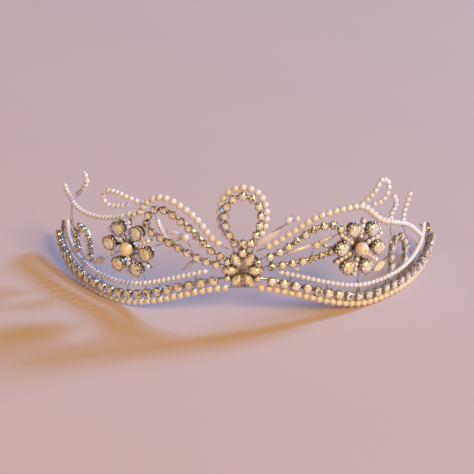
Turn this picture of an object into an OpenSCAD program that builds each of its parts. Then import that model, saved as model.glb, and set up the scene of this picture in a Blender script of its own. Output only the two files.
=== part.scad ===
// Bridal tiara: pearl strings, crystal cup chain and two crystal flowers on a bent wire band.
// The front of the tiara faces -Y and it stands on its bottom pearl row at Z = 0.

/* [Band] */
// Radius of the curve that the band follows round the head
wall_r = 75; // [62:0.5:90]
// Length of the rim along the curve, from the centre to one end
rim_half = 108; // [104:1:112]
// How much higher the rim runs at the centre than at the sides
rim_rise = 13.5; // [8:0.5:17]
// Length along the curve over which the rim comes down from the centre
rise_reach = 55; // [45:1:66]
// How much the two ends lift off the table
end_lift = 5; // [2:0.5:8]
// Inward lean of the upper rim row at the ends
end_lean = 2.5; // [0:0.5:4]
// Diameter of the base wire
base_wire_d = 1.1; // [0.9:0.1:1.4]
// Gap between the crystal cups and the pearl row under them
pearl_row_gap = 0.2; // [0.15:0.05:1.7]
// Gap between the crystal cups and the seed bead row over them
seed_row_gap = 0.9; // [0.3:0.05:2]

/* [Crystal chain] */
// Diameter of a rim crystal
rim_stone_d = 3.2; // [2.6:0.1:3.4]
// Distance from one rim crystal to the next
rim_pitch = 4.6; // [4.2:0.1:6]
// Diameter of a crystal in the leaves and the centre loop
leaf_stone_d = 2.6; // [2:0.1:2.7]
// Distance from one leaf crystal to the next
leaf_pitch = 3.8; // [3.5:0.1:5]
// Metal wall of a crystal's cup
cup_wall = 0.3; // [0.2:0.05:0.4]
// Height of a rim cup
cup_h = 1.9; // [1.7:0.1:2.4]

/* [Pearls and beads] */
// Diameter of a lower rim pearl
rim_pearl_d = 2.8; // [2.2:0.1:3]
// Diameter of an arch pearl
arch_pearl_d = 2.7; // [2.2:0.1:2.8]
// Diameter of a seed bead
seed_d = 2; // [1.6:0.1:2.1]
// Gap between two beads on a wire
bead_gap = 0.15; // [0.1:0.05:0.4]
// Diameter of the wires that carry the beads
bead_wire_d = 0.5; // [0.4:0.05:0.6]
// Space round a wire in a bead's hole
hole_clear = 0.22; // [0.18:0.02:0.25]

/* [Flowers and cluster] */
// Diameter of a petal crystal
petal_stone_d = 5; // [4:0.1:5.2]
// Distance of the petals from the middle of a flower
petal_ring_r = 8.4; // [8.2:0.1:9]
// Diameter of the pearl in the middle of a flower
flower_pearl_d = 5.2; // [4:0.1:5.4]
// Length of a boat-shaped crystal
navette_l = 5.6; // [4.6:0.1:5.8]
// Width of a boat-shaped crystal
navette_w = 3; // [2.4:0.1:3.2]
// Distance of the boat-shaped crystals from the middle of the cluster
navette_ring_r = 4.7; // [4.7:0.1:5.5]

/* [Ends] */
// Radius of the hole in an end eyelet
eyelet_bore_r = 1.5; // [1:0.1:1.8]
// Thickness of an end eyelet
eyelet_t = 1.2; // [0.8:0.1:1.6]

/* [Hidden] */

gap = 0.05;
base_r = base_wire_d / 2;
bead_wire_r = bead_wire_d / 2;
rim_cup_d = rim_stone_d + 2 * cup_wall;
leaf_cup_h = cup_h * 0.85;
leaf_wire_r = 0.35;
plate_t = 0.6;
plate_o = arch_pearl_d / 2 + 0.25;
pearl_row_drop = (rim_cup_d + rim_pearl_d) / 2 + pearl_row_gap;
seed_row_rise = (rim_cup_d + seed_d) / 2 + seed_row_gap;
low_z = pearl_row_drop + rim_pearl_d / 2;
lift_from = 65;
stay_r = 0.3;
small_d = 2.1;
small_wire_r = 0.2;
pearl_row_o = 0.9;
seed_row_o = 0.45;
stay_o = -base_r - stay_r - 0.15;
cluster_h = 4.3;
eyelet_rim = 1.1;
navette_floor = 0.5;
navette_h = 1.9;
navette_wall_h = 1.7;
navette_girdle_h = 1.3;
navette_table = 0.65;
end_angle = rim_half / wall_r * 180 / PI;
back_y = -wall_r * cos(end_angle) + 2 * (eyelet_bore_r + eyelet_rim);
front_y = -(wall_r + plate_o + plate_t + gap + navette_floor + gap + navette_h);
mid_y = (back_y + front_y) / 2;

// How far s is into the end that lifts and leans: 0 before it and 1 at the end of the rim.
function end_share(s) = max(abs(s) - lift_from, 0) / (rim_half - lift_from);
// Height of the crystal chain's middle over the table, at a length s along the curve.
function rim_z(s) =
    low_z + rim_rise * (1 + cos(180 * min(abs(s), rise_reach) / rise_reach)) / 2
    + end_lift * pow(end_share(s), 2);
// Inward lean of the upper rim row at s.
function lean(s) = end_lean * end_share(s);
function angle_at(s) = s / wall_r * 180 / PI;
// A point [s, h, o]: s along the curve, h over the chain row, o outward from the band.
function out_of(p) = len(p) > 2 ? p[2] : 0;
function raised(p) = [p[0], rim_z(p[0]) + p[1], out_of(p)];
function place(q) = [(wall_r + q[2]) * sin(angle_at(q[0])),
    -(wall_r + q[2]) * cos(angle_at(q[0])) - mid_y, q[1]];

// A smooth curve through the points p, with n steps from one point to the next.
function pick(p, i) = p[min(max(i, 0), len(p) - 1)];
function blend(a, b, c, d, t) =
    (2 * b + (c - a) * t + (2 * a - 5 * b + 4 * c - d) * t * t + (3 * b - a - 3 * c + d) * t * t * t) / 2;
function smooth(p, n) = concat([for (i = [0 : len(p) - 2], k = [0 : n - 1])
    blend(pick(p, i - 1), p[i], p[i + 1], pick(p, i + 2), k / n)], [p[len(p) - 1]]);
function route(p, n = 6) = smooth([for (c = p) raised(c)], n);
function lengths(q) = [for (i = 0, a = 0; i < len(q);
    i = i + 1, a = i < len(q) ? a + norm(place(q[i]) - place(q[i - 1])) : a) a];
function point_at(q, c, d) = [for (k = [0 : 2]) lookup(d, [for (i = [0 : len(q) - 1]) [c[i], q[i][k]]])];
function last(c) = c[len(c) - 1];
// Evenly spaced places along a route, from start to the end left clear.
function spots(q, pitch, start = 0, end = 0) = let(c = lengths(q), run = last(c) - start - end,
    n = floor(run / pitch), first = start + (run - n * pitch) / 2)
    [for (i = [0 : n]) point_at(q, c, first + i * pitch)];
function tangent_at(q, c, d) = let(a = place(point_at(q, c, max(d - 0.3, 0))),
    b = place(point_at(q, c, min(d + 0.3, last(c))))) (b - a) / norm(b - a);
function bead_spots(q, pitch, start = 0, end = 0) = let(c = lengths(q), run = last(c) - start - end,
    n = floor(run / pitch), first = start + (run - n * pitch) / 2)
    [for (i = [0 : n]) let(d = first + i * pitch) [place(point_at(q, c, d)), tangent_at(q, c, d)]];

// The foot of an upright wire: it starts on the back of the base wire and clears the seed beads.
function foot(s) = [[s, 0.2, -base_r - 0.4], [s, seed_row_rise, seed_row_o - lean(s) - seed_d / 2 - 0.55]];

// Puts children on the band at q, with X along it, Y up and Z outward.
module on_wall(q) {
    translate([0, -mid_y, 0]) rotate([0, 0, angle_at(q[0])])
        translate([0, -(wall_r + q[2]), q[1]]) rotate([90, 0, 0]) children();
}
module along(v) {
    rotate([0, acos(v[2] / norm(v)), atan2(v[1], v[0])]) children();
}
// A round wire along the route q.
module wire(q, r, sides = 6) {
    pts = [for (a = q) place(a)];
    m = len(pts) - 1;
    rings = [for (i = [0 : m]) let(
        t = pts[min(i + 1, m)] - pts[max(i - 1, 0)],
        o = [sin(angle_at(q[i][0])), -cos(angle_at(q[i][0])), 0],
        u = cross(o, t) / norm(cross(o, t)),
        v = cross(t, u) / norm(t))
        for (k = [0 : sides - 1]) pts[i] + r * (cos(360 * k / sides) * u + sin(360 * k / sides) * v)];
    walls = [for (i = [0 : m - 1], k = [0 : sides - 1]) let(k2 = (k + 1) % sides)
        [i * sides + k, (i + 1) * sides + k, (i + 1) * sides + k2, i * sides + k2]];
    first_cap = [for (k = [0 : sides - 1]) k];
    last_cap = [for (k = [sides - 1 : -1 : 0]) m * sides + k];
    polyhedron(rings, concat(walls, [first_cap, last_cap]), convexity = 8);
}
module bead(d, hole_r) {
    difference() {
        sphere(d = d);
        cylinder(r = hole_r, h = d + 1, center = true);
    }
}
module beads(list, d, wire_r) {
    for (b = list) translate(b[0]) along(b[1]) bead(d, wire_r + hole_clear);
}
// A round cup with a cone seat: d is the crystal's diameter.
module cup(d, h) {
    r = d / 2;
    rotate_extrude() polygon([[0, 0], [r + cup_wall, 0], [r + cup_wall, h], [r + gap, h],
        [r + gap, h * 0.72], [0, h * 0.25]]);
}
// A round crystal for that cup, with a flat top over a cone.
module crystal(d, h) {
    r = d / 2;
    translate([0, 0, gap * 2]) rotate_extrude() polygon([[0, h * 0.25], [r, h * 0.72], [r, h],
        [r * 0.55, h + r * 0.35], [0, h + r * 0.35]]);
}
module cups(list, d, h) {
    for (q = list) on_wall(q) cup(d, h);
}
module crystals(list, d, h) {
    for (q = list) on_wall(q) crystal(d, h);
}
function pushed(list, o) = [for (q = list) [q[0], q[1], q[2] + o]];

// ---- rim ----
rim_steps = 72;
function rim_route(from, to, h, o, tilt = 0) = [for (i = [0 : rim_steps])
    let(s = from + (to - from) * i / rim_steps) [s, rim_z(s) + h, o - tilt * lean(s)]];
wire_end = rim_half - 1;
seed_start = 13;
chain_start = 10;
pearl_start = 5;

module base_wire() {
    color("#8c7a66") wire(rim_route(-wire_end, wire_end, 0, 0), base_r, 8);
}
// A flat drilled tab on each end, whose sleeve is closed on the base wire.
module end_eyelet(side) {
    s = side * rim_half;
    ring_r = eyelet_bore_r + eyelet_rim;
    centre = place([s, rim_z(s), 0]);
    color("#b9a68e") difference() {
        union() {
            translate(centre + [0, ring_r, 0]) rotate([0, 90, 0])
                cylinder(r = ring_r, h = eyelet_t, center = true);
            translate(centre + [-eyelet_t / 2, -0.4, -ring_r * 0.45]) cube([eyelet_t, 1.6, ring_r * 0.9]);
        }
        translate(centre + [0, ring_r, 0]) rotate([0, 90, 0])
            cylinder(r = eyelet_bore_r, h = eyelet_t + 2, center = true);
    }
}
module left_end_eyelet() { end_eyelet(-1); }
module right_end_eyelet() { end_eyelet(1); }
module rim_stays() {
    color("#9c8a74") for (side = [-1, 1], s = [18 : 14.8 : 107]) wire(
        [for (h = [-pearl_row_drop - 0.6 : 1.1 : seed_row_rise + 1])
            [side * s, rim_z(s) + h, stay_o - (h > 0 ? lean(s) * h / seed_row_rise : 0)]], stay_r);
}
lower_route = rim_route(-rim_half, rim_half, -pearl_row_drop, pearl_row_o);
module lower_rim_wire() {
    color("#a8977f") wire(lower_route, bead_wire_r);
}
module lower_rim_pearls() {
    color("#f2e6cf") for (side = [-1, 1])
        beads(bead_spots(rim_route(side * pearl_start, side * rim_half, -pearl_row_drop, pearl_row_o),
            rim_pearl_d + bead_gap, rim_pearl_d / 2, rim_pearl_d / 2), rim_pearl_d, bead_wire_r);
}
function rim_spots(side) = spots(rim_route(side * chain_start, side * wire_end, 0, base_r + gap), rim_pitch,
    0, rim_cup_d / 2 + 0.3);
module rim_settings() {
    color("#b0a393") for (side = [-1, 1]) cups(rim_spots(side), rim_stone_d, cup_h);
}
module rim_stones() {
    color("#e9e4e4") for (side = [-1, 1]) crystals(rim_spots(side), rim_stone_d, cup_h);
}
function upper_route(side) = rim_route(side * seed_start, side * rim_half, seed_row_rise, seed_row_o, 1);
module upper_rim_wire() {
    color("#a8977f") for (side = [-1, 1]) wire(upper_route(side), bead_wire_r);
}
module upper_rim_seed_beads() {
    color("#f4efe6") for (side = [-1, 1]) beads(bead_spots(upper_route(side), seed_d + bead_gap, seed_d / 2,
        seed_d / 2), seed_d, bead_wire_r);
}

// ---- leaves of crystals ----
left_leaf_path = [[-5, 7.6], [-11, 11.8], [-15, 16.5], [-19, 22], [-24, 27.6], [-29, 32], [-33.5, 32.9],
    [-36.5, 29.4], [-34.8, 24.8], [-30, 20.9], [-25, 16.8], [-19, 12], [-13, 7.9], [-6, 5]];
right_leaf_path = [[5.5, 7.2], [11.5, 10.7], [17.5, 15.7], [23, 21.5], [29, 26], [34.5, 27.5],
    [38, 24.5], [37, 20], [31.5, 15.7], [25, 12], [18.5, 8.7], [12, 6.4], [6, 4]];
leaf_root = 3.4;
module leaf_wire(p) {
    color("#a39584") wire(route(p), leaf_wire_r);
}
function leaf_spots(p) = pushed(spots(route(p), leaf_pitch, leaf_root, leaf_root), leaf_wire_r + gap);
module left_leaf_wire() { leaf_wire(left_leaf_path); }
module left_leaf_settings() { color("#b0a393") cups(leaf_spots(left_leaf_path), leaf_stone_d, leaf_cup_h); }
module left_leaf_stones() { color("#e9e4e4") crystals(leaf_spots(left_leaf_path), leaf_stone_d, leaf_cup_h); }
module right_leaf_wire() { leaf_wire(right_leaf_path); }
module right_leaf_settings() { color("#b0a393") cups(leaf_spots(right_leaf_path), leaf_stone_d, leaf_cup_h); }
module right_leaf_stones() {
    color("#e9e4e4") crystals(leaf_spots(right_leaf_path), leaf_stone_d, leaf_cup_h);
}

// ---- arches of pearls ----
left_arch_path = [[-4.5, 11], [-11, 15.9], [-17, 24.9], [-24, 32.4], [-31, 37], [-37, 36], [-40.5, 32.5],
    [-46, 31.5], [-53, 29.5], [-61, 27.4], [-70, 26], [-78, 25.4], [-86, 26.4], [-94, 27.8]];
right_arch_path = [[5, 10.7], [11, 14.2], [18, 20.3], [25, 26.7], [32, 31.3], [40, 34.5], [47, 35.5],
    [52, 32.5], [57, 28.3], [65, 25], [73, 21.6], [78, 18.4], [83, 14.4], [87, 11.2], [90.5, 8.2]];
arch_root = 4.5;
// Where along the band each arch changes from pearls to seed beads.
left_fine_s = 45;
right_fine_s = 60;
module arch_wire(p) {
    color("#a8977f") wire(route(p), bead_wire_r);
}
module arch_pearls(p, fine_s) {
    q = route(p);
    c = lengths(q);
    fine_from = min([for (i = [0 : len(q) - 1]) if (abs(q[i][0]) > fine_s) c[i]]);
    fine_start = fine_from + (arch_pearl_d + seed_d) / 2 + bead_gap;
    color("#f5ecdc") {
        beads(bead_spots(q, arch_pearl_d + bead_gap, arch_root, last(c) - fine_from), arch_pearl_d,
            bead_wire_r);
        beads(bead_spots(q, seed_d + bead_gap, fine_start, seed_d / 2), seed_d, bead_wire_r);
    }
}
module left_arch_wire() { arch_wire(left_arch_path); }
module left_arch_pearls() { arch_pearls(left_arch_path, left_fine_s); }
module right_arch_wire() { arch_wire(right_arch_path); }
module right_arch_pearls() { arch_pearls(right_arch_path, right_fine_s); }

// ---- centre cluster ----
cluster = raised([0, cluster_h, plate_o]);
front_o = plate_t + gap;
plate_disc_r = 7;
tongue_w = 2;
tongue_l = 11;
small_round_d = 2;
small_round_ring_r = 6.5;
// Each round crystal of the cluster: sideways and upward from its middle, and its diameter.
round_stones = concat([[0, 6.9, 2.6], [0, 10.9, small_round_d]], [for (a = [30, 150, 210, 330])
    [small_round_ring_r * cos(a), small_round_ring_r * sin(a), small_round_d]]);
module navette_2d(l, w) {
    arc_r = (l * l + w * w) / (4 * w);
    intersection() {
        translate([0, arc_r - w / 2]) circle(r = arc_r);
        translate([0, w / 2 - arc_r]) circle(r = arc_r);
    }
}
module navette_ring() {
    for (a = [0 : 60 : 300]) rotate([0, 0, a]) translate([navette_ring_r, 0, front_o]) children();
}
module centre_backplate() {
    color("#9c8a74") on_wall(cluster) linear_extrude(plate_t) {
        circle(r = plate_disc_r);
        translate([-tongue_w / 2, 0]) square([tongue_w, tongue_l]);
    }
}
module navette_settings() {
    color("#b0a393") on_wall(cluster) navette_ring() difference() {
        linear_extrude(navette_wall_h) navette_2d(navette_l + 2 * cup_wall, navette_w + 2 * cup_wall);
        translate([0, 0, navette_floor])
            linear_extrude(navette_wall_h) navette_2d(navette_l + 2 * gap, navette_w + 2 * gap);
    }
}
module navette_stones() {
    color("#ece2d6") on_wall(cluster) navette_ring() translate([0, 0, navette_floor + gap]) {
        linear_extrude(navette_girdle_h) navette_2d(navette_l, navette_w);
        linear_extrude(navette_h) navette_2d(navette_l * navette_table, navette_w * navette_table);
    }
}
module centre_round_settings() {
    color("#b0a393") on_wall(cluster) for (c = round_stones) translate([c[0], c[1], front_o]) cup(c[2], cup_h);
}
module centre_round_stones() {
    color("#dfe6f2") on_wall(cluster) for (c = round_stones)
        translate([c[0], c[1], front_o]) crystal(c[2], cup_h);
}

// ---- centre loop ----
loop_path = [[-1.2, 9], [-1.6, 12], [-3.6, 15.5], [-5.6, 19.5], [-6.4, 24], [-6.1, 28], [-4, 31.3], [0, 32.7],
    [4, 31.3], [6.1, 28], [6.4, 24], [5.6, 19.5], [3.6, 15.5], [1.6, 12], [1.2, 9]];
loop_pearl_o = -1.2;
loop_pearl_root = 7.5;
// Half of the pearl string, from the root to just before the top.
loop_pearl_half = [[3.2, 9.5], [4.6, 13.2], [6.4, 16.6], [8, 20], [8.7, 24], [8.2, 28.8], [5.4, 33.2]];
loop_pearl_path = concat(
    [for (q = loop_pearl_half) [-q[0], q[1], loop_pearl_o]],
    [[0, 34.9, loop_pearl_o]],
    [for (i = [6 : -1 : 0]) [loop_pearl_half[i][0], loop_pearl_half[i][1], loop_pearl_o]]);
loop_root = 4.2;
function loop_spots() = pushed(spots(route(loop_path), leaf_pitch, loop_root, loop_root), leaf_wire_r + gap);
module centre_loop_wire() { color("#a39584") wire(route(loop_path), leaf_wire_r); }
module centre_loop_settings() { color("#b0a393") cups(loop_spots(), leaf_stone_d, leaf_cup_h); }
module centre_loop_stones() { color("#e9e4e4") crystals(loop_spots(), leaf_stone_d, leaf_cup_h); }
module centre_loop_pearl_wire() { color("#a8977f") wire(route(loop_pearl_path), bead_wire_r); }
module centre_loop_pearls() {
    color("#f5ecdc") beads(bead_spots(route(loop_pearl_path), arch_pearl_d + bead_gap, loop_pearl_root,
        loop_pearl_root), arch_pearl_d, bead_wire_r);
}

// ---- flowers ----
flower_o = plate_o + 1.1;
left_flower = [-42.6, 19.8, flower_o];
right_flower = [43, 20.6, flower_o];
arm_w = 1.2;
bead_arm_w = 1;
bead_arm_l = petal_ring_r + 3;
petal_h = cup_h + 0.2;
module flower_at(f, turn) {
    on_wall(raised(f)) rotate([0, 0, turn]) children();
}
module petals() {
    for (a = [0 : 60 : 300]) rotate([0, 0, a]) translate([petal_ring_r, 0, front_o]) children();
}
module flower_backplate(f, turn) {
    color("#9c8a74") flower_at(f, turn) linear_extrude(plate_t) {
        circle(r = flower_pearl_d / 2);
        for (a = [0 : 60 : 300]) rotate(a) {
            translate([petal_ring_r, 0]) circle(r = petal_stone_d / 2);
            translate([0, -arm_w / 2]) square([petal_ring_r, arm_w]);
            rotate(30) translate([0, -bead_arm_w / 2]) square([bead_arm_l, bead_arm_w]);
        }
    }
}
module flower_settings(f, turn) {
    color("#a89a88") flower_at(f, turn) petals() cup(petal_stone_d, petal_h);
}
module flower_stones(f, turn) {
    color("#ecdcc6") flower_at(f, turn) petals() crystal(petal_stone_d, petal_h);
}
flower_seed_d = seed_d - 0.25;
seed_arm_start = 4.6;
module flower_seed_beads(f, turn) {
    color("#efe0c4") flower_at(f, turn) for (a = [30 : 60 : 330], k = [0 : 3]) rotate([0, 0, a])
        translate([seed_arm_start + k * (flower_seed_d + bead_gap), 0, front_o + flower_seed_d / 2])
            rotate([0, 90, 0]) bead(flower_seed_d, small_wire_r + hole_clear);
}
module flower_pearl(f, turn) {
    color("#f3dcb4") flower_at(f, turn)
        translate([0, 0, front_o + flower_pearl_d / 2]) sphere(d = flower_pearl_d);
}
// The stem runs from the base wire up the back of the flower.
module flower_stem(f) {
    back_o = f[2] - stay_r - 2 * gap;
    color("#9c8a74") wire(route(concat(foot(f[0] + 3.6), [[f[0] + 3, 8, 0.4], [f[0] + 1, 13, back_o],
        [f[0], f[1], back_o], [f[0], f[1] + petal_ring_r, back_o]]), 4), stay_r);
}
left_turn = 58;
right_turn = 50;
module left_flower_backplate() { flower_backplate(left_flower, left_turn); }
module left_flower_settings() { flower_settings(left_flower, left_turn); }
module left_flower_stones() { flower_stones(left_flower, left_turn); }
module left_flower_seed_beads() { flower_seed_beads(left_flower, left_turn); }
module left_flower_pearl() { flower_pearl(left_flower, left_turn); }
module left_flower_stem() { flower_stem(left_flower); }
module right_flower_backplate() { flower_backplate(right_flower, right_turn); }
module right_flower_settings() { flower_settings(right_flower, right_turn); }
module right_flower_stones() { flower_stones(right_flower, right_turn); }
module right_flower_seed_beads() { flower_seed_beads(right_flower, right_turn); }
module right_flower_pearl() { flower_pearl(right_flower, right_turn); }
module right_flower_stem() { flower_stem(right_flower); }

// ---- tip loops over the arches ----
left_tip_path = [[-38, 34.6, -2.1], [-41, 35.8, -1.8], [-46, 38.6], [-51, 40], [-56, 39.4], [-59, 36.2],
    [-56.5, 33.4, -0.8], [-51, 34.2, -1.7], [-46.6, 35, -2.4]];
right_tip_path = [[47, 34.8, -2.1], [50.5, 37, -1.8], [53, 40.5], [56.5, 44.4], [60.3, 42.5],
    [60.3, 38.5], [57.5, 35.6, -0.6], [53.5, 34.8, -1.9]];
module tip_wire(p) {
    color("#b8a890") wire(route(p), small_wire_r);
}
module tip_beads(p) {
    color("#f4f0ea")
        beads(bead_spots(route(p), small_d + bead_gap, small_d, small_d / 2), small_d, small_wire_r);
}
module left_tip_loop_wire() { tip_wire(left_tip_path); }
module left_tip_loop_beads() { tip_beads(left_tip_path); }
module right_tip_loop_wire() { tip_wire(right_tip_path); }
module right_tip_loop_beads() { tip_beads(right_tip_path); }

// ---- sprigs at the ends ----
left_sprigs = [
    concat(foot(-101), [[-98, 10, -2.6], [-92, 18, -2.4], [-86, 24.5, -2.3], [-82, 29, -1.9],
        [-78, 31, -1.2], [-72, 35.5], [-69, 39.5], [-71, 43]]),
    concat(foot(-90), [[-91, 14, -2.3], [-93, 24, -1.9]])];
right_sprigs = [
    concat(foot(84), [[81, 10, -2.4], [77, 17, -2.5], [75.5, 23, -2.4], [75.6, 28, -1.4], [76.5, 34]]),
    concat(foot(73), [[70, 12, -2.3], [66.5, 20, -2.6], [66.5, 27, -2.6], [66.4, 30.5, -1],
        [65.5, 33.5], [63.4, 36.8]])];
module sprig_wires(list) {
    color("#b8a890") for (p = list) wire(route(p, 5), small_wire_r);
}
module sprig_beads(list, bare) {
    color("#f4f2ef") for (i = [0 : len(list) - 1])
        beads(bead_spots(route(list[i], 5), small_d + bead_gap, bare[i], small_d / 2), small_d, small_wire_r);
}
module left_end_sprig_wires() { sprig_wires(left_sprigs); }
module left_end_sprig_beads() { sprig_beads([left_sprigs[0]], [34]); }
module right_end_sprig_wires() { sprig_wires(right_sprigs); }
module right_end_sprig_beads() { sprig_beads(right_sprigs, [20, 26]); }

// ---- small crystal leaves at the outer ends ----
function footed(a, p, b) = concat(foot(a), p, [foot(b)[1], foot(b)[0]]);
outer_leaf_paths = [
    footed(-66.5, [[-66.5, 8], [-66.5, 12.5], [-68, 17], [-71.5, 20], [-75.5, 18], [-77, 13], [-76, 8]], -76),
    footed(64, [[62.5, 8], [62, 12.5], [63, 17], [66, 19.3], [69.6, 17], [71.3, 13], [71, 8]], 71)];
module outer_leaf_wires() {
    color("#a39584") for (p = outer_leaf_paths) wire(route(p), leaf_wire_r);
}
outer_leaf_root = 8;
function outer_spots(p) =
    pushed(spots(route(p), leaf_pitch, outer_leaf_root, outer_leaf_root), leaf_wire_r + gap);
module outer_leaf_settings() {
    color("#b0a393") for (p = outer_leaf_paths) cups(outer_spots(p), leaf_stone_d, leaf_cup_h);
}
module outer_leaf_stones() {
    color("#e9e4e4") for (p = outer_leaf_paths) crystals(outer_spots(p), leaf_stone_d, leaf_cup_h);
}

// ---- sprays of bugle beads ----
bugle_d = 1.6;
spray_pearl_d = 3;
spray_o = -1.3;
left_hub = [-21.5, 19, spray_o];
right_hub = [27.5, 17.8, spray_o];
// Each spray stem: where it starts, where it ends, how far along its bugle starts and the bugle's length.
spray_stems = [
    [[-19, 12, -0.75], left_hub, 0, 0], [left_hub, [-30, 23.4, spray_o], 3.2, 4.6],
    [left_hub, [-35, 17.8, spray_o], 2, 6], [[-29.4, 18.3, spray_o], [-35, 31.8, spray_o], 1.4, 8.4],
    [[26, 12.6, -0.8], right_hub, 0, 0], [right_hub, [37, 23.4, spray_o], 1.9, 5.6],
    [right_hub, [36.5, 18, spray_o], 3.8, 4.4], [right_hub, [13, 9.4, spray_o], 2, 9],
    [[-16, 9.9, -0.75], [-24, 5.4, -1.7], 2.6, 4.6], [[16, 7.6, -0.75], [23, 5.2, -1.7], 1.8, 4.6]];
function stem_route(e) = let(a = raised(e[0]), b = raised(e[1])) [for (k = [0 : 4]) a + (b - a) * k / 4];
module spray_wires() {
    color("#b8a890") for (e = spray_stems) wire(stem_route(e), small_wire_r);
}
module spray_bugles() {
    color("#e8e6ea") for (e = spray_stems) if (e[3] > 0) {
        q = stem_route(e);
        c = lengths(q);
        middle = e[2] + e[3] / 2;
        translate(place(point_at(q, c, middle))) along(tangent_at(q, c, middle)) difference() {
            cylinder(d = bugle_d, h = e[3], center = true);
            cylinder(r = small_wire_r + hole_clear, h = e[3] + 1, center = true);
        }
    }
}
module spray_pearls() {
    front = spray_pearl_d / 2 + small_wire_r + gap;
    color("#f3e2c2") for (h = [left_hub, right_hub]) on_wall(raised([h[0], h[1], h[2] + front]))
        sphere(d = spray_pearl_d);
}

// ---- sprig right of the centre loop ----
centre_sprigs = [
    [[4, 11.5, -2.2], [8, 15, -2.2], [12, 18.9, -2.1], [15.4, 22.4, -0.6], [18, 27.6]],
    [[12.6, 19.5, -2.6], [15.5, 21.2, -3], [19, 24, -2.6], [22, 27.4, -1]]];
module centre_sprig_wires() {
    color("#b8a890") for (p = centre_sprigs) wire(route(p, 5), small_wire_r);
}
// Where each sprig's beads start along it, their diameter and the bare end.
centre_sprig_beads = [[15.5, arch_pearl_d, 1.2], [8, small_d, 1]];
module centre_sprig_pearls() {
    color("#f5ecdc") for (i = [0, 1]) let(b = centre_sprig_beads[i])
        beads(bead_spots(route(centre_sprigs[i], 5), b[1] + bead_gap, b[0], b[2]), b[1], small_wire_r);
}

// ---- leaf-shaped crystals beside the flowers, and the long blade on the sprig ----
// Middle of each leaf and its turn about the outward direction.
leaf_drops = [
    [[-61.5, 9.6, 0.1], 30], [[56.8, 9.4, 0.2], 20], [[-82.5, 12, 0.2], -35], [[55.8, 23, -0.45], 70]];
drop_l = 7;
drop_w = 3.4;
drop_t = 1.8;
pin_l = 14.6;
blade_t = 0.5;
blade_l = 11;
blade_w = 2.8;
blade = [9.4, 15.6, -2.2 + small_wire_r + gap + blade_t / 2];
blade_turn = 33;
module crystal_leaves() {
    color("#efdcb8") {
        for (d = leaf_drops) on_wall(raised(d[0])) rotate([0, 0, d[1]])
            linear_extrude(drop_t, center = true) navette_2d(drop_l, drop_w);
        on_wall(raised(blade)) rotate([0, 0, blade_turn])
            linear_extrude(blade_t, center = true) navette_2d(blade_l, blade_w);
    }
}
module crystal_leaf_pins() {
    behind = drop_t / 2 + gap + small_wire_r;
    color("#b8a890") for (d = leaf_drops) on_wall(raised(d[0])) translate([0, 0, -behind])
        rotate([0, 90, d[1]]) cylinder(r = small_wire_r, h = pin_l, center = true);
}

base_wire();
left_end_eyelet();
right_end_eyelet();
rim_stays();
lower_rim_wire();
lower_rim_pearls();
rim_settings();
rim_stones();
upper_rim_wire();
upper_rim_seed_beads();
left_leaf_wire();
left_leaf_settings();
left_leaf_stones();
right_leaf_wire();
right_leaf_settings();
right_leaf_stones();
left_arch_wire();
left_arch_pearls();
right_arch_wire();
right_arch_pearls();
centre_backplate();
navette_settings();
navette_stones();
centre_round_settings();
centre_round_stones();
centre_loop_wire();
centre_loop_settings();
centre_loop_stones();
centre_loop_pearl_wire();
centre_loop_pearls();
centre_sprig_wires();
centre_sprig_pearls();
left_flower_backplate();
left_flower_settings();
left_flower_stones();
left_flower_seed_beads();
left_flower_pearl();
left_flower_stem();
right_flower_backplate();
right_flower_settings();
right_flower_stones();
right_flower_seed_beads();
right_flower_pearl();
right_flower_stem();
left_tip_loop_wire();
left_tip_loop_beads();
right_tip_loop_wire();
right_tip_loop_beads();
left_end_sprig_wires();
left_end_sprig_beads();
right_end_sprig_wires();
right_end_sprig_beads();
outer_leaf_wires();
outer_leaf_settings();
outer_leaf_stones();
spray_wires();
spray_bugles();
spray_pearls();
crystal_leaf_pins();
crystal_leaves();
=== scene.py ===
"""The looks of the bridal tiara: pearls, cut crystals, their settings, wires, light and camera."""
import math

import bmesh
import bpy
import numpy as np
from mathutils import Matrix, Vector


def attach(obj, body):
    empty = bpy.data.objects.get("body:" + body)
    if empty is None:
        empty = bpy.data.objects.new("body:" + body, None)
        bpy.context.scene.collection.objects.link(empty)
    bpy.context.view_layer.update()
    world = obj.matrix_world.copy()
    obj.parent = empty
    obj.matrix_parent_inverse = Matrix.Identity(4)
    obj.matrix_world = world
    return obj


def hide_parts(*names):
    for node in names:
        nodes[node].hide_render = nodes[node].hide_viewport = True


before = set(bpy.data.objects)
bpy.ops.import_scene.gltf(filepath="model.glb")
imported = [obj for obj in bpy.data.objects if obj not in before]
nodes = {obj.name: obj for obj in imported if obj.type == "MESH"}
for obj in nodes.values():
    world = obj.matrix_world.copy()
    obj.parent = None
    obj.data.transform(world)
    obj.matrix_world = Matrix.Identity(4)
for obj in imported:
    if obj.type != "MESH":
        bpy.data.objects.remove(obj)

MM = 0.001
scene = bpy.context.scene
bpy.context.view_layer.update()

# The band follows a circle round the upright axis through this y, and every crystal faces away from it.
CIRCLE_Y = 42.14 * MM
# Height of a cut stone over its girdle as a share of its radius, and its width as a share of the CAD stone.
CROWN = 0.34
STONE_FIT = 0.97
# Turn of a stone's facets from the upright, in radians.
FACET_TURN = 0.2
# Arch pearls with a radius under this are seed beads.
SEED_RADIUS = 1.1 * MM
# Glass leaves longer than this are the pale ones.
LONG_LEAF = 9 * MM
# Metal wall of a crystal's cup, and the claw beads round a flower's cup.
CUP_WALL = 0.3 * MM
CLAW_BEADS = 14
CLAW_BEAD_RADIUS = 0.36 * MM
CLAW_BEAD_GAP = 0.1 * MM
# Cups whose feet are closer than this have a flat link between them.
RIM_LINK_REACH = 5.2 * MM
LEAF_LINK_REACH = 4.3 * MM
LINK_WIDTH = 1.2 * MM
LINK_THICKNESS = 0.4 * MM
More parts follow.
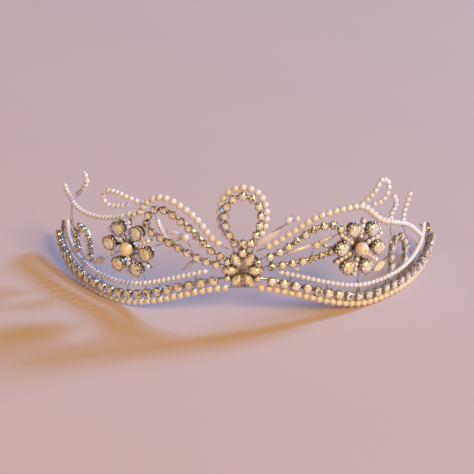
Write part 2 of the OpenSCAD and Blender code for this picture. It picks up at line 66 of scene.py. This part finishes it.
# Vertices of a kept CAD wire closer than this are one.
WELD_DISTANCE = 0.002 * MM
# Half the side of the square floor, in metres.
FLOOR_REACH = 4.0
# The camera's place round its target, in degrees and metres, and its lens.
CAMERA_AZIMUTH = 1.06
CAMERA_ELEVATION = 23
CAMERA_DISTANCE = 0.6
CAMERA_TARGET = Vector((-2.14, -33.08, 34.6)) * MM
LENS_MM = 125
SENSOR_MM = 36


# ---------------------------------------------------------------- reading the CAD solids

def islands(name):
    """The vertices of each separate solid of a CAD node, as arrays in metres."""
    mesh = nodes[name].data
    points = np.empty(len(mesh.vertices) * 3)
    mesh.vertices.foreach_get("co", points)
    points = points.reshape(-1, 3)
    key, index = np.unique(np.round(points, 7), axis=0, return_inverse=True)
    index = index.ravel()
    parent = list(range(len(key)))

    def root(a):
        while parent[a] != a:
            parent[a] = parent[parent[a]]
            a = parent[a]
        return a

    edges = np.empty(len(mesh.edges) * 2, dtype=np.int64)
    mesh.edges.foreach_get("vertices", edges)
    for a, b in index[edges.reshape(-1, 2)]:
        ra, rb = root(a), root(b)
        if ra != rb:
            parent[ra] = rb
    groups = {}
    for i in range(len(key)):
        groups.setdefault(root(i), []).append(i)
    return [key[g] for g in groups.values()]


def sphere_of(points):
    """Centre and radius of the ball that the points lie on."""
    middle = points.mean(0)
    p = points - middle
    a = np.hstack([2 * p, np.ones((len(p), 1))])
    x = np.linalg.lstsq(a, (p ** 2).sum(1), rcond=None)[0]
    return middle + x[:3], math.sqrt(x[3] + (x[:3] ** 2).sum())


def turning_axis(points):
    """The axis of a turned solid: the direction that is unlike the other two."""
    p = points - points.mean(0)
    values, vectors = np.linalg.eigh(p.T @ p)
    odd = 0 if values[1] - values[0] > values[2] - values[1] else 2
    return vectors[:, odd]


def outward(at):
    """Unit vector away from the middle of the head, at a point."""
    v = np.array([at[0], at[1] - CIRCLE_Y, 0.0])
    return v / np.linalg.norm(v)


def axes_along(z, up=(0.0, 0.0, 1.0)):
    """A 3x3 matrix whose columns are x, y and z, with y as near up as it can be."""
    z = np.array(z) / np.linalg.norm(z)
    x = np.cross(up, z)
    if np.linalg.norm(x) < 0.1:
        x = np.cross((1.0, 0.0, 0.0), z)
    x /= np.linalg.norm(x)
    return np.column_stack([x, np.cross(z, x), z])


# ---------------------------------------------------------------- shapes, as vertices and faces

def turned(profile, sides):
    """Vertices and faces of a profile of (radius, height) pairs turned about Z."""
    points, rings, faces = [], [], []
    for r, z in profile:
        if r < 1e-9:
            rings.append([len(points)])
            points.append((0.0, 0.0, z))
        else:
            rings.append(list(range(len(points), len(points) + sides)))
            points += [(r * math.cos(2 * math.pi * k / sides), r * math.sin(2 * math.pi * k / sides), z)
                       for k in range(sides)]
    for low, high in zip(rings, rings[1:]):
        for k in range(sides):
            k2 = (k + 1) % sides
            face = [low[k % len(low)], low[k2 % len(low)], high[k2 % len(high)], high[k % len(high)]]
            face = [v for i, v in enumerate(face) if v not in face[:i]]
            if len(face) > 2:
                faces.append(face)
    return np.array(points), faces


def joined(*parts):
    """Several parts as one: a part is its vertices and its faces."""
    points, faces = [], []
    base = 0
    for p, f in parts:
        points.append(np.array(p))
        faces += [[v + base for v in face] for face in f]
        base += len(p)
    return np.vstack(points), faces


def moved(part, at, turn=None, scale=1.0):
    """A part that is scaled, then turned by a matrix, then moved."""
    p, f = part
    p = np.array(p) * scale
    if turn is not None:
        p = p @ np.array(turn).T
    return p + np.array(at), f


def spun(angle):
    """The matrix of a turn about Z."""
    c, s = math.cos(angle), math.sin(angle)
    return np.array([[c, -s, 0], [s, c, 0], [0, 0, 1]])


def pearl_shape(sides=28, rows=18, hole=0.14):
    """A ball of radius 1 with a small drilled hole along Z, its edge rounded in."""
    start = math.asin(hole)
    arc = [start + (math.pi - 2 * start) * i / rows for i in range(rows + 1)]
    profile = [(math.sin(a), -math.cos(a)) for a in arc]
    inside = [(hole * 0.8, 0.8), (hole * 0.8, -0.8)]
    lip = [(hole * 0.9, -math.cos(start) * 0.985)]
    top_lip = [(hole * 0.9, math.cos(start) * 0.985)]
    return turned(lip + profile + top_lip + inside + lip, sides)


def cut_crystal(facets, table=0.55, girdle=0.08, pavilion=0.75):
    """A round cut stone of girdle radius 1: table, star and kite facets, girdle and pavilion."""
    def ring(r, z, phase):
        return [(r * math.cos(2 * math.pi * (k + phase) / facets),
                 r * math.sin(2 * math.pi * (k + phase) / facets), z) for k in range(facets)]
    middle_r = (1 + table) / 2 + 0.03
    points = ring(table, CROWN, 0) + ring(middle_r, CROWN * 0.52, 0.5)
    points += ring(1, girdle, 0) + ring(1, girdle, 0.5)
    points += ring(1, 0, 0) + ring(1, 0, 0.5) + ring(0.5, -pavilion * 0.52, 0.5) + [(0, 0, -pavilion)]
    t, m, g, gh, b, bh, p, tip = (facets * i for i in range(8))
    faces = [list(range(t, t + facets))]
    for k in range(facets):
        n = (k + 1) % facets
        faces.append([t + k, m + k, t + n])
        faces.append([t + k, m + (k - 1) % facets, g + k, m + k])
        faces.append([m + k, g + k, gh + k])
        faces.append([m + k, gh + k, g + n])
        faces.append([g + k, b + k, bh + k, gh + k])
        faces.append([gh + k, bh + k, b + n, g + n])
        faces.append([b + k, p + k, bh + k])
        faces.append([bh + k, p + k, b + n])
        faces.append([p + k, b + n, p + n, tip])
    return np.array(points), faces


def claw_cup(claws, height, wall, claw_r, reach=1.08):
    """A cup of inner radius 1 with claws bent over the stone.

    height is that of the wall, and reach is a claw's height as a share of it.
    """
    outer = 1 + wall
    body = turned([(0, 0), (outer * 0.78, 0), (outer * 0.9, height * 0.25), (outer, height * 0.8),
                   (outer, height * 0.95), (1.06, height), (1.0, height * 0.92), (0.9, height * 0.55),
                   (0, height * 0.3)], 32)
    path = [(outer * 0.98, height * 0.35), (outer * 1.02, height * 0.9), (outer * 0.98, height * reach),
            (outer * 0.86, height * reach + claw_r * 0.9), (outer * 0.72, height * reach + claw_r * 0.7)]
    radii = [claw_r * 0.8, claw_r, claw_r, claw_r * 0.9, claw_r * 0.55]
    parts = [body]
    for k in range(claws):
        a = 2 * math.pi * (k + 0.5) / claws
        parts.append(tube([(r * math.cos(a), r * math.sin(a), z) for r, z in path], radii, 8))
    return joined(*parts)


def tube(path, radii, sides):
    """A round tube along a path, with a radius for each point and a low cone on each end."""
    path = np.array(path, dtype=float)
    t = np.gradient(path, axis=0)
    t /= np.linalg.norm(t, axis=1)[:, None]
    side = np.cross(t[0], (0.3, 0.5, 0.81))
    points, faces = [], []
    for i, (c, r) in enumerate(zip(path, radii)):
        side = side - t[i] * (side @ t[i])
        side /= np.linalg.norm(side)
        up = np.cross(t[i], side)
        for k in range(sides):
            a = 2 * math.pi * k / sides
            points.append(c + r * (math.cos(a) * side + math.sin(a) * up))
    for i in range(len(path) - 1):
        for k in range(sides):
            k2 = (k + 1) % sides
            faces.append([i * sides + k, i * sides + k2, (i + 1) * sides + k2, (i + 1) * sides + k])
    first, last = len(points), len(points) + 1
    points += [path[0] - t[0] * radii[0] * 0.5, path[-1] + t[-1] * radii[-1] * 0.5]
    top = (len(path) - 1) * sides
    for k in range(sides):
        k2 = (k + 1) % sides
        faces.append([first, k2, k])
        faces.append([last, top + k, top + k2])
    return np.array(points), faces


# ---------------------------------------------------------------- materials

# The face attribute that holds a facet's tone, a random brightness painted in place of the reflections that
# cut facets show, and two painted glints that some facets get.
TONE = "tone"
GOLD_GLINT = (0.95, 0.72, 0.42)
BLUE_GLINT = (0.74, 0.8, 1.0)
WHITE = (1.0, 1.0, 1.0)


def new_material(name):
    """A material, its node tree and its shader."""
    material = bpy.data.materials.new(name)
    material.use_nodes = True
    tree = material.node_tree
    return material, tree, tree.nodes["Principled BSDF"]


def add(tree, kind, inputs=None, **values):
    """A new node, with values for its settings and for its input sockets."""
    node = tree.nodes.new(kind)
    for key, value in values.items():
        setattr(node, key, value)
    for key, value in (inputs or {}).items():
        node.inputs[key].default_value = value
    return node


def ramp(tree, source, stops):
    """The source turned into a colour by (place, colour) stops."""
    node = add(tree, "ShaderNodeValToRGB")
    element = node.color_ramp.elements
    while len(element) < len(stops):
        element.new(0.5)
    for e, (place, colour) in zip(element, stops):
        e.position = place
        e.color = (*colour, 1)
    tree.links.new(source, node.inputs["Fac"])
    return node.outputs["Color"]


def object_noise(tree, scale, detail):
    """Noise in the object's own metres: scale is in features per metre."""
    coordinates = add(tree, "ShaderNodeTexCoord")
    node = add(tree, "ShaderNodeTexNoise", {"Scale": scale, "Detail": detail})
    tree.links.new(coordinates.outputs["Object"], node.inputs["Vector"])
    return node.outputs["Fac"]


def multiplied(tree, factor, a, b):
    """The product of two colours, mixed in by factor."""
    node = add(tree, "ShaderNodeMix", data_type="RGBA", blend_type="MULTIPLY")
    share, first, second = (s for s in node.inputs if s.enabled)
    share.default_value = factor
    tree.links.new(a, first)
    tree.links.new(b, second)
    return next(s for s in node.outputs if s.enabled)


def uneven(tree, shader, noise, low, high):
    """Roughness that drifts with the noise from low to high."""
    rough = add(tree, "ShaderNodeMapRange", {"To Min": low, "To Max": high})
    tree.links.new(noise, rough.inputs["Value"])
    tree.links.new(rough.outputs["Result"], shader.inputs["Roughness"])


def bump(tree, shader, height, strength, distance):
    """Relief on the shader that follows the height."""
    node = add(tree, "ShaderNodeBump", {"Strength": strength, "Distance": distance})
    tree.links.new(height, node.inputs["Height"])
    tree.links.new(node.outputs["Normal"], shader.inputs["Normal"])


def pearl_material(name, body, blush, shade):
    """Layered nacre: a body colour that drifts from bead to bead, under a clear coat."""
    material, tree, shader = new_material(name)
    bead = add(tree, "ShaderNodeNewGeometry").outputs["Random Per Island"]
    drift = ramp(tree, bead, [(0.0, body), (0.55, blush), (1.0, body)])
    cloud = ramp(tree, object_noise(tree, 900, 4.0), [(0.35, WHITE), (0.75, shade)])
    colour = multiplied(tree, 0.55, drift, cloud)
    tree.links.new(colour, shader.inputs["Base Color"])
    uneven(tree, shader, object_noise(tree, 2400, 2.0), 0.32, 0.46)
    bump(tree, shader, object_noise(tree, 3200, 3.0), 0.08, 0.04 * MM)
    shader.inputs["Subsurface Weight"].default_value = 0.25
    shader.inputs["Subsurface Radius"].default_value = (1.0, 0.7, 0.5)
    shader.inputs["Subsurface Scale"].default_value = 0.6 * MM
    shader.inputs["Specular IOR Level"].default_value = 0.8
    shader.inputs["Coat Weight"].default_value = 1.0
    shader.inputs["Coat Roughness"].default_value = 0.2
    shader.inputs["Sheen Weight"].default_value = 0.12
    return material


def metal_material(name, bright, dark, roughness, cell=700):
    """Silver plate with dark patches, partly tarnish and partly painted shade of its hollows, with a fine
    grain. cell is the patches per metre.
    """
    material, tree, shader = new_material(name)
    patch = object_noise(tree, cell, 5.0)
    # The dark colour in random patches is partly tarnish and partly painted shade.
    tree.links.new(ramp(tree, patch, [(0.38, dark), (0.62, bright)]), shader.inputs["Base Color"])
    uneven(tree, shader, object_noise(tree, cell * 3, 3.0), roughness - 0.08, roughness + 0.14)
    bump(tree, shader, object_noise(tree, cell * 6, 2.0), 0.15, 0.03 * MM)
    shader.inputs["Metallic"].default_value = 1.0
    return material


def crystal_material(name, bright, deep, foil):
    """A foil-backed cut stone with painted reflections: each facet has its own tone, from deep to bright or a
    painted glint, with faint cloud in it.
    """
    material, tree, shader = new_material(name)
    tone = add(tree, "ShaderNodeAttribute", attribute_name=TONE).outputs["Fac"]
    # Dark facets, foil, bright facets and the glints are painted reflections, picked by the facet's tone.
    colour = ramp(tree, tone, [(0.0, deep), (0.2, deep), (0.27, foil), (0.42, bright), (0.52, GOLD_GLINT),
                               (0.6, bright), (0.78, WHITE), (0.9, BLUE_GLINT)])
    cloud = ramp(tree, object_noise(tree, 1600, 3.0), [(0.3, (0.8, 0.78, 0.76)), (0.6, WHITE)])
    tree.links.new(multiplied(tree, 1.0, colour, cloud), shader.inputs["Base Color"])
    uneven(tree, shader, object_noise(tree, 2600, 1.0), 0.03, 0.2)
    shader.inputs["Metallic"].default_value = 0.2
    shader.inputs["IOR"].default_value = 1.62
    shader.inputs["Specular IOR Level"].default_value = 0.9
    shader.inputs["Coat Weight"].default_value = 1.0
    shader.inputs["Coat Roughness"].default_value = 0.03
    return material


def glass_bead_material(name, tint, streak):
    """Clear glass with long soft streaks, as in drawn bugle beads and pressed leaves."""
    material, tree, shader = new_material(name)
    cloud = object_noise(tree, 650, 3.0)
    tree.links.new(ramp(tree, cloud, [(0.3, tint), (0.7, streak)]), shader.inputs["Base Color"])
    uneven(tree, shader, object_noise(tree, 1800, 2.0), 0.06, 0.2)
    bump(tree, shader, cloud, 0.2, 0.1 * MM)
    shader.inputs["IOR"].default_value = 1.5
    shader.inputs["Transmission Weight"].default_value = 0.25
    shader.inputs["Coat Weight"].default_value = 0.6
    shader.inputs["Coat Roughness"].default_value = 0.05
    return material


CREAM_PEARL = pearl_material("cream_pearl", (0.77, 0.7, 0.68), (0.81, 0.73, 0.7), (0.84, 0.78, 0.8))
IVORY_PEARL = pearl_material("ivory_pearl", (0.74, 0.71, 0.79), (0.79, 0.74, 0.8), (0.86, 0.82, 0.9))
WHITE_PEARL = pearl_material("white_pearl", (0.74, 0.76, 0.92), (0.8, 0.78, 0.9), (0.84, 0.86, 0.98))
FLOWER_PEARL = pearl_material("flower_pearl", (0.76, 0.65, 0.6), (0.8, 0.68, 0.62), (0.86, 0.76, 0.7))
BRIGHT_SILVER = metal_material("bright_silver", (0.95, 0.9, 0.84), (0.7, 0.6, 0.5), 0.18, 1400)
SILVER = metal_material("aged_shaded_silver", (0.92, 0.86, 0.8), (0.3, 0.22, 0.16), 0.24, 1300)
# A darker copy of the silver, partly its own dark metal and partly painted shade, for recessed parts.
DARK_SHADED_SILVER = metal_material("dark_shaded_silver", (0.7, 0.62, 0.53), (0.18, 0.135, 0.1), 0.3)
FINE_WIRE = metal_material("fine_wire_silver", (0.78, 0.74, 0.7), (0.5, 0.45, 0.4), 0.24, 1100)
CLEAR_CRYSTAL = crystal_material("clear_crystal", (0.95, 0.94, 1.0), (0.26, 0.2, 0.16), (0.78, 0.74, 0.74))
WARM_CRYSTAL = crystal_material("warm_crystal", (0.94, 0.92, 0.96), (0.36, 0.29, 0.23), (0.8, 0.75, 0.74))
GOLD_CRYSTAL = crystal_material("gold_crystal", (0.9, 0.82, 0.66), (0.2, 0.14, 0.09), (0.7, 0.59, 0.44))
PALE_GLASS = glass_bead_material("pale_glass", (0.8, 0.76, 1.0), (0.92, 0.86, 1.0))
GOLD_GLASS = glass_bead_material("gold_glass", (0.95, 0.87, 0.78), (1.0, 0.95, 0.92))


# ---------------------------------------------------------------- pieces

def make_piece(name, parts, material, node, smooth=True):
    """One mesh object from many parts, in place of the CAD node. Flat pieces get a tone for each facet, a
    painted reflection.
    """
    points, faces = joined(*parts)
    mesh = bpy.data.meshes.new(name)
    mesh.from_pydata(points.tolist(), [], faces)
    mesh.validate()
    bm = bmesh.new()
    bm.from_mesh(mesh)
    bmesh.ops.recalc_face_normals(bm, faces=bm.faces)
    bm.to_mesh(mesh)
    bm.free()
    mesh.polygons.foreach_set("use_smooth", [smooth] * len(mesh.polygons))
    if not smooth:
        count = len(mesh.polygons)
        # A random brightness for each facet, painted in place of the light it reflects.
        tone = mesh.attributes.new(TONE, "FLOAT", "FACE")
        tone.data.foreach_set("value", np.random.default_rng(count).random(count) ** 0.8)
    mesh.materials.append(material)
    piece = bpy.data.objects.new(name, mesh)
    scene.collection.objects.link(piece)
    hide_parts(node)
    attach(piece, "root")


def make_pearls(node, material, fine=None, fine_below=0.0):
    """Drilled pearls on the places of the plain ones. Those with a radius under fine_below get fine."""
    shape = pearl_shape()
    parts, small = [], []
    for solid in islands(node):
        centre, radius = sphere_of(solid)
        pearl = moved(shape, centre, axes_along(turning_axis(solid)), radius)
        (small if radius < fine_below else parts).append(pearl)
    make_piece(node + "_look", parts, material, node)
    if small:
        make_piece(node + "_fine_look", small, fine, node)


def boat(length, width, levels, points=20):
    """A solid with a boat-shaped outline. A level is a share of the outline's size, and its height."""
    arc = (length ** 2 + width ** 2) / (4 * width)
    half = math.asin(length / 2 / arc)
    side = [(arc * math.sin(t), arc * math.cos(t) - arc + width / 2)
            for t in np.linspace(-half, half, points // 2, endpoint=False)]
    outline = side + [(-x, -y) for x, y in side]
    coordinates, faces = [], []
    for share, height in levels:
        coordinates += [(x * share, y * share, height) for x, y in outline]
    n = len(outline)
    for k in range(len(levels) - 1):
        low, high = k * n, (k + 1) * n
        for i in range(n):
            j = (i + 1) % n
            faces += [[low + i, low + j, high + j], [low + i, high + j, high + i]]
    faces += [list(range(n))[::-1], list(range((len(levels) - 1) * n, len(levels) * n))]
    return np.array(coordinates), faces


def make_boats(node, material, levels, smooth, long_material=None, long_from=1.0):
    """Boat-shaped stones or leaves: levels are shares of the outline and of the thickness.

    Those longer than long_from get long_material.
    """
    parts, long_parts = [], []
    for solid in islands(node):
        middle = (solid.min(0) + solid.max(0)) / 2
        vectors = np.linalg.eigh((solid - middle).T @ (solid - middle))[1]
        facing = vectors.T @ outward(middle)
        front = int(np.abs(facing).argmax())
        flat = vectors[:, front] * np.sign(facing[front])
        long = vectors[:, max(k for k in range(3) if k != front)]
        turn = np.column_stack([long, np.cross(flat, long), flat])
        local = solid @ turn
        low, high = local.min(0), local.max(0)
        size = high - low
        shape = boat(size[0], size[1], [(share, low[2] + t * size[2]) for share, t in levels])
        centre = turn @ np.array([(low[0] + high[0]) / 2, (low[1] + high[1]) / 2, 0])
        (long_parts if size[0] > long_from else parts).append(moved(shape, centre, turn))
    make_piece(node + "_look", parts, material, node, smooth)
    if long_parts:
        make_piece(node + "_long_look", long_parts, long_material, node, smooth)


def make_bugles(node, material):
    """Drawn glass tubes with rounded rims."""
    parts = []
    for solid in islands(node):
        middle = solid.mean(0)
        axis = turning_axis(solid)
        along = (solid - middle) @ axis
        radius = np.linalg.norm(solid - middle - np.outer(along, axis), axis=1).max()
        half = along.max()
        bore, rim = radius * 0.45, radius * 0.2
        profile = [(bore, -half + rim), (bore + rim, -half), (radius - rim, -half), (radius, -half + rim),
                   (radius, half - rim), (radius - rim, half), (bore + rim, half), (bore, half - rim),
                   (bore, -half + rim)]
        parts.append(moved(turned(profile, 20), middle, axes_along(axis)))
    make_piece(node + "_look", parts, material, node)


def make_crystals(node, material, facets=8):
    """Cut stones in place of the plain ones, facing the same way and no wider."""
    shape = cut_crystal(facets)
    parts = []
    for solid in islands(node):
        axis = turning_axis(solid)
        middle = solid.mean(0)
        if axis @ outward(middle) < 0:
            axis = -axis
        along = solid @ axis
        across = solid - np.outer(along, axis)
        centre = (across.min(0) + across.max(0)) / 2
        radius = np.linalg.norm(across - centre, axis=1).max()
        girdle = centre + axis * (along.max() - CROWN * radius)
        parts.append(moved(shape, girdle, axes_along(axis) @ spun(FACET_TURN), radius * STONE_FIT))
    make_piece(node + "_look", parts, material, node, smooth=False)


def cup_frame(solid):
    """Centre of a turned cup's foot, its axis, its outer radius and its height."""
    axis = turning_axis(solid)
    if axis @ outward(solid.mean(0)) < 0:
        axis = -axis
    along = solid @ axis
    across = solid - np.outer(along, axis)
    centre = (across.min(0) + across.max(0)) / 2
    outer = np.linalg.norm(across - centre, axis=1).max()
    return centre + axis * along.min(), axis, outer, along.max() - along.min()


def bar(start, end, axis, width, thick):
    """A flat link from one cup to the next, whose flat side faces along the axis."""
    way = end - start
    side = np.cross(axis, way / np.linalg.norm(way)) * width / 2
    up = axis * thick
    points = [start - side, start + side, end + side, end - side]
    points += [q + up for q in points]
    walls = [[k, (k + 1) % 4, (k + 1) % 4 + 4, k + 4] for k in range(4)]
    return np.array(points), [[3, 2, 1, 0], [4, 5, 6, 7]] + walls


def bezel(radius, height, beads, bead_r):
    """A ring of small claw beads round a stone."""
    ball = turned([(math.sin(a) * bead_r, -math.cos(a) * bead_r) for a in np.linspace(0, math.pi, 7)], 8)
    around = np.linspace(0, 2 * math.pi, beads, endpoint=False)
    return joined(*[moved(ball, (radius * math.cos(a), radius * math.sin(a), height)) for a in around])


def make_cups(node, material, claws=4, link_reach=0.0, bead_material=None):
    """Claw cups on the places of the plain cups, linked where two are closer than link_reach.

    With a bead_material, small claw beads stand round each stone.
    """
    parts, rings, links = [], [], []
    # A claw's radius as a share of the cup's: four stout claws, or more and finer ones.
    claw_r = 0.15 if claws == 4 else 0.09
    frames = [cup_frame(solid) for solid in islands(node)]
    for foot, axis, outer, height in frames:
        inner = outer - CUP_WALL
        shape = claw_cup(claws, height / inner, CUP_WALL / inner * 0.9, claw_r)
        parts.append(moved(shape, foot, axes_along(axis), inner))
        if bead_material:
            ring = bezel(outer + CLAW_BEAD_GAP, height * 0.95, CLAW_BEADS, CLAW_BEAD_RADIUS)
            rings.append(moved(ring, foot, axes_along(axis)))
    for i, (foot, axis, outer, height) in enumerate(frames):
        for other in frames[i + 1:]:
            if np.linalg.norm(other[0] - foot) < link_reach:
                lift = axis * height * 0.3
                links.append(bar(foot + lift, other[0] + lift, axis, LINK_WIDTH, LINK_THICKNESS))
    make_piece(node + "_look", parts, material, node)
    if links:
        # Links in the gaps between cups take the darker silver, partly painted shade of the gaps.
        make_piece(node + "_links", links, DARK_SHADED_SILVER, node)
    if rings:
        make_piece(node + "_claw_beads", rings, bead_material, node)


def keep_node(node, material, rounded):
    """A CAD node that stays, with a better material, and rounder where it is a drawn wire."""
    piece = nodes[node]
    piece.data.materials.clear()
    piece.data.materials.append(material)
    if rounded:
        weld = piece.modifiers.new("weld", "WELD")
        weld.merge_threshold = WELD_DISTANCE
        rounder = piece.modifiers.new("round", "SUBSURF")
        rounder.levels = 1
        rounder.render_levels = 1


make_pearls("lower_rim_pearls", CREAM_PEARL)
for node in ("centre_loop_pearls", "spray_pearls"):
    make_pearls(node, IVORY_PEARL)
for node in ("left_arch_pearls", "right_arch_pearls"):
    make_pearls(node, IVORY_PEARL, WHITE_PEARL, SEED_RADIUS)
for node in ("upper_rim_seed_beads", "left_tip_loop_beads", "right_tip_loop_beads", "left_end_sprig_beads",
             "right_end_sprig_beads", "centre_sprig_pearls"):
    make_pearls(node, WHITE_PEARL)
for node in ("left_flower_pearl", "right_flower_pearl"):
    make_pearls(node, FLOWER_PEARL)
for node in ("left_flower_seed_beads", "right_flower_seed_beads"):
    make_pearls(node, WHITE_PEARL)

for node in ("rim_stones", "left_leaf_stones", "right_leaf_stones", "centre_loop_stones", "outer_leaf_stones",
             "centre_round_stones"):
    make_crystals(node, CLEAR_CRYSTAL)
for node in ("left_flower_stones", "right_flower_stones"):
    make_crystals(node, WARM_CRYSTAL, facets=12)

make_cups("rim_settings", SILVER, link_reach=RIM_LINK_REACH)
for node in ("left_leaf_settings", "right_leaf_settings", "centre_loop_settings", "outer_leaf_settings"):
    make_cups(node, SILVER, link_reach=LEAF_LINK_REACH)
make_cups("centre_round_settings", SILVER)
# The flower cups take the darker silver, partly painted shade round each stone.
for node in ("left_flower_settings", "right_flower_settings"):
    make_cups(node, DARK_SHADED_SILVER, claws=12, bead_material=BRIGHT_SILVER)

# The wires, plates, eyelets and pins and the navettes' settings stay CAD solids.
for node in ("base_wire", "lower_rim_wire", "upper_rim_wire", "left_leaf_wire", "right_leaf_wire",
             "left_arch_wire", "right_arch_wire", "centre_loop_wire", "centre_loop_pearl_wire", "rim_stays",
             "left_flower_stem", "right_flower_stem"):
    keep_node(node, SILVER, rounded=True)
for node in ("centre_sprig_wires", "left_tip_loop_wire", "right_tip_loop_wire", "left_end_sprig_wires",
             "right_end_sprig_wires", "outer_leaf_wires", "spray_wires"):
    keep_node(node, FINE_WIRE, rounded=True)
for node in ("left_end_eyelet", "right_end_eyelet", "navette_settings", "crystal_leaf_pins"):
    keep_node(node, SILVER, rounded=False)
# The backplates behind the flowers and the centre take the darker silver, partly painted shade.
for node in ("centre_backplate", "left_flower_backplate", "right_flower_backplate"):
    keep_node(node, DARK_SHADED_SILVER, rounded=False)

# Levels of a stone with cut edges and of a pressed glass leaf.
CUT_LEVELS = [(0.7, 0.0), (1.0, 0.45), (1.0, 0.6), (0.78, 0.86), (0.5, 1.0)]
PRESSED_LEVELS = [(0.4, 0.0), (0.8, 0.1), (0.97, 0.35), (1.0, 0.5), (0.97, 0.65), (0.8, 0.9), (0.4, 1.0)]
# The navettes are flat, so their facets get painted reflections too.
make_boats("navette_stones", GOLD_CRYSTAL, CUT_LEVELS, False)
make_boats("crystal_leaves", GOLD_GLASS, PRESSED_LEVELS, True, PALE_GLASS, LONG_LEAF)
make_bugles("spray_bugles", PALE_GLASS)


# ---------------------------------------------------------------- floor, light and camera

def make_floor():
    """A wide sheet of pale pink paper."""
    material, tree, shader = new_material("floor_paper")
    cloud = object_noise(tree, 9, 4.0)
    drift = ramp(tree, cloud, [(0.3, (0.606, 0.474, 0.462)), (0.7, (0.624, 0.488, 0.476))])
    tree.links.new(drift, shader.inputs["Base Color"])
    bump(tree, shader, object_noise(tree, 900, 2.0), 0.06, 0.2 * MM)
    shader.inputs["Roughness"].default_value = 0.75
    bm = bmesh.new()
    bmesh.ops.create_grid(bm, x_segments=1, y_segments=1, size=FLOOR_REACH)
    mesh = bpy.data.meshes.new("floor")
    bm.to_mesh(mesh)
    bm.free()
    mesh.materials.append(material)
    floor = bpy.data.objects.new("floor", mesh)
    scene.collection.objects.link(floor)


def standing_at(azimuth, elevation):
    """Unit vector towards a place round the tiara. Azimuth 0 is the front, and the angles are in degrees."""
    a, e = math.radians(azimuth), math.radians(elevation)
    return Vector((math.sin(a) * math.cos(e), -math.cos(a) * math.cos(e), math.sin(e)))


def make_light(name, azimuth, elevation, distance, size, watts, colour):
    """A square soft box that looks at the frame's origin."""
    light = bpy.data.lights.new(name, "AREA")
    light.size = size
    light.energy = watts
    light.color = colour
    lamp = bpy.data.objects.new(name, light)
    way = standing_at(azimuth, elevation)
    lamp.location = way * distance
    lamp.rotation_euler = way.to_track_quat("Z", "Y").to_euler()
    scene.collection.objects.link(lamp)


def make_world():
    """Dim orange light from all round, and a pale pink wall that only the camera sees."""
    world = bpy.data.worlds.new("studio")
    world.use_nodes = True
    tree = world.node_tree
    back = tree.nodes["Background"]
    wall = add(tree, "ShaderNodeBackground", {"Color": (0.57, 0.42, 0.41, 1), "Strength": 1.0})
    seen = add(tree, "ShaderNodeMixShader")
    tree.links.new(add(tree, "ShaderNodeLightPath").outputs["Is Camera Ray"], seen.inputs["Fac"])
    tree.links.new(back.outputs["Background"], seen.inputs[1])
    tree.links.new(wall.outputs["Background"], seen.inputs[2])
    tree.links.new(seen.outputs["Shader"], tree.nodes["World Output"].inputs["Surface"])
    back.inputs["Color"].default_value = (0.86, 0.52, 0.36, 1)
    back.inputs["Strength"].default_value = 0.37
    scene.world = world


def make_camera():
    """The camera stands a little right of the front and looks down on the tiara."""
    camera = bpy.data.cameras.new("camera")
    camera.sensor_width = SENSOR_MM
    camera.lens = LENS_MM
    camera.clip_start = 0.01
    holder = bpy.data.objects.new("camera", camera)
    way = standing_at(CAMERA_AZIMUTH, CAMERA_ELEVATION)
    holder.location = CAMERA_TARGET + way * CAMERA_DISTANCE
    holder.rotation_euler = way.to_track_quat("Z", "Y").to_euler()
    scene.collection.objects.link(holder)
    scene.camera = holder


make_floor()
make_world()
make_light("cool_key", azimuth=118, elevation=30, distance=4.0, size=0.85, watts=205.0,
           colour=(0.19, 0.5, 1.0))
make_light("warm_fill", azimuth=30, elevation=34, distance=5.0, size=1.5, watts=232.0,
           colour=(1.0, 0.7, 0.24))
make_camera()
scene.view_settings.view_transform = "Standard"
